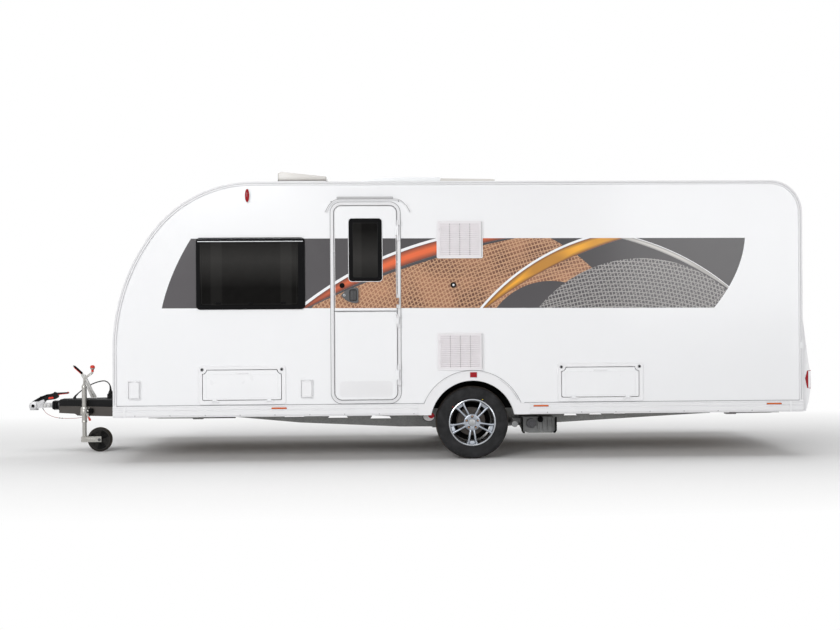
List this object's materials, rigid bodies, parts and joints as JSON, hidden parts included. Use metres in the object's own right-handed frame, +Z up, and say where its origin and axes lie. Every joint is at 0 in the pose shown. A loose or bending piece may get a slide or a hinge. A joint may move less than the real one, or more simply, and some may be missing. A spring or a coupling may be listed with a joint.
{
  "type": "single-axle touring caravan",
  "caption": "Single-axle touring caravan with a curved nose, a stable door, side lockers, rooflights, a ball coupling, a jockey wheel and corner steadies.",
  "frame": {"origin": "on the ground under the middle of the vehicle's box, coupling nose to rear lamps", "axes": "+X to the rear, -X to the coupling, -Y the entrance door side, +Z up"},
  "size_m": [7.3652, 2.301, 2.6244],
  "materials": {
    "body_white": "gloss",
    "trim_white": "gloss",
    "skirt_white": "satin",
    "floor_board": "matt",
    "window_black": "gloss",
    "gas_bottle_grey": "satin",
    "vent_white": "satin",
    "galvanised": "dull",
    "chassis_grey": "satin",
    "black_plastic": "satin",
    "tyre_rubber": "matt",
    "alloy_silver": "satin",
    "lamp_red": "gloss",
    "rubber_black": "matt",
    "panel_dark": "gloss",
    "wire_red": "satin"
  },
  "bodies": {
    "caravan": {"wall_left": "body_white", "wall_right": "body_white", "front_panel": "body_white", "roof": "body_white", "rear_panel": "body_white", "floor": "floor_board", "wheel_boxes": "black_plastic", "wheel_spats": "trim_white", "skirts": "skirt_white", "edge_rails": "skirt_white", "windows": "window_black", "door_frame": "skirt_white", "wall_fittings": "trim_white", "locker_frames": "trim_white", "fridge_vents": "vent_white", "rooflight_frames": "trim_white", "solar_panel": "panel_dark", "rear_bumper": "body_white", "lamps": "lamp_red", "side_members": "galvanised", "drawbar": "galvanised", "gas_locker": "body_white", "gas_bottles": "gas_bottle_grey", "axle": "chassis_grey", "overrun_housing": "chassis_grey", "gaiter": "rubber_black", "coupling": "alloy_silver", "coupling_handle": "black_plastic", "drawbar_cover": "black_plastic", "handbrake": "galvanised", "main_cable": "rubber_black", "main_plug": "black_plastic", "breakaway_cable": "wire_red", "jockey_mount": "galvanised", "steady_brackets": "galvanised", "movers": "chassis_grey"},
    "wheel_left": {"tyre_left": "tyre_rubber", "alloy_left": "alloy_silver"},
    "wheel_right": {"tyre_right": "tyre_rubber", "alloy_right": "alloy_silver"},
    "door_upper_leaf": {"door_upper": "body_white", "door_window": "window_black", "door_handle": "black_plastic"},
    "door_lower_leaf": {"door_lower": "body_white"},
    "locker_front": {"locker_door_front": "body_white"},
    "locker_rear": {"locker_door_rear": "body_white"},
    "locker_right": {"locker_door_right": "body_white"},
    "gas_locker_lid": {"gas_lid": "body_white"},
    "service_flap_front": {"flap_front": "trim_white"},
    "service_flap_mid": {"flap_mid": "trim_white"},
    "rooflight_lid_mini": {"rooflight_mini": "trim_white"},
    "rooflight_lid_midi": {"rooflight_midi": "trim_white"},
    "jockey_leg": {"jockey_leg": "galvanised"},
    "jockey_fork": {"jockey_fork": "galvanised"},
    "jockey_wheel": {"jockey_wheel": "rubber_black"},
    "steady_front_left": {"steady_front_left": "galvanised"},
    "steady_front_right": {"steady_front_right": "galvanised"},
    "steady_rear_left": {"steady_rear_left": "galvanised"},
    "steady_rear_right": {"steady_rear_right": "galvanised"}
  },
  "joints": [
    {"name": "wheel_left_spin", "type": "hinge", "parent": "caravan", "child": "wheel_left", "pos_m": [0.588, -1, 0.327], "axis": [0, 1, 0], "continuous": true},
    {"name": "wheel_right_spin", "type": "hinge", "parent": "caravan", "child": "wheel_right", "pos_m": [0.588, 1, 0.327], "axis": [0, 1, 0], "continuous": true},
    {"name": "door_upper_hinge", "type": "hinge", "parent": "caravan", "child": "door_upper_leaf", "pos_m": [-0.077, -1.145, 2.06], "axis": [0, 0, 1], "range_deg": [0, 175]},
    {"name": "door_lower_hinge", "type": "hinge", "parent": "caravan", "child": "door_lower_leaf", "pos_m": [-0.077, -1.145, 0.765], "axis": [0, 0, 1], "range_deg": [0, 175]},
    {"name": "locker_front_hinge", "type": "hinge", "parent": "caravan", "child": "locker_front", "pos_m": [-1.473, -1.137, 0.546], "axis": [1, 0, 0], "range_deg": [0, 95]},
    {"name": "locker_rear_hinge", "type": "hinge", "parent": "caravan", "child": "locker_rear", "pos_m": [1.744, -1.137, 0.546], "axis": [1, 0, 0], "range_deg": [0, 95]},
    {"name": "locker_right_hinge", "type": "hinge", "parent": "caravan", "child": "locker_right", "pos_m": [-1.473, 1.137, 0.546], "axis": [-1, 0, 0], "range_deg": [0, 95]},
    {"name": "gas_lid_hinge", "type": "hinge", "parent": "caravan", "child": "gas_locker_lid", "pos_m": [-2.632, 0, 0.987], "axis": [0, 1, 0], "range_deg": [0, 80]},
    {"name": "flap_front_hinge", "type": "hinge", "parent": "caravan", "child": "service_flap_front", "pos_m": [-2.428, -1.136, 0.721], "axis": [-1, 0, 0], "range_deg": [0, 110]},
    {"name": "flap_mid_hinge", "type": "hinge", "parent": "caravan", "child": "service_flap_mid", "pos_m": [-0.896, -1.136, 0.721], "axis": [-1, 0, 0], "range_deg": [0, 110]},
    {"name": "rooflight_mini_hinge", "type": "hinge", "parent": "caravan", "child": "rooflight_lid_mini", "pos_m": [-1.179, -0.6, 2.542], "axis": [0, -1, 0], "range_deg": [0, 50]},
    {"name": "rooflight_midi_hinge", "type": "hinge", "parent": "caravan", "child": "rooflight_lid_midi", "pos_m": [0.3175, 0, 2.56], "axis": [0, -1, 0], "range_deg": [0, 50]},
    {"name": "jockey_slide", "type": "slide", "parent": "caravan", "child": "jockey_leg", "axis": [0, 0, 1], "range_m": [-0.1, 0.095]},
    {"name": "jockey_swivel", "type": "hinge", "parent": "jockey_leg", "child": "jockey_fork", "pos_m": [-3.104, -0.178, 0.12], "axis": [0, 0, 1], "continuous": true},
    {"name": "jockey_spin", "type": "hinge", "parent": "jockey_fork", "child": "jockey_wheel", "pos_m": [-2.954, -0.178, 0.117], "axis": [0, 1, 0], "continuous": true},
    {"name": "steady_front_left_hinge", "type": "hinge", "parent": "caravan", "child": "steady_front_left", "pos_m": [-2.33, -0.8, 0.392], "axis": [0, 1, 0], "range_deg": [0, 52]},
    {"name": "steady_front_right_hinge", "type": "hinge", "parent": "caravan", "child": "steady_front_right", "pos_m": [-2.33, 0.8, 0.392], "axis": [0, 1, 0], "range_deg": [0, 52]},
    {"name": "steady_rear_left_hinge", "type": "hinge", "parent": "caravan", "child": "steady_rear_left", "pos_m": [3.44, -0.8, 0.392], "axis": [0, -1, 0], "range_deg": [0, 52]},
    {"name": "steady_rear_right_hinge", "type": "hinge", "parent": "caravan", "child": "steady_rear_right", "pos_m": [3.44, 0.8, 0.392], "axis": [0, -1, 0], "range_deg": [0, 52]}
  ]
}
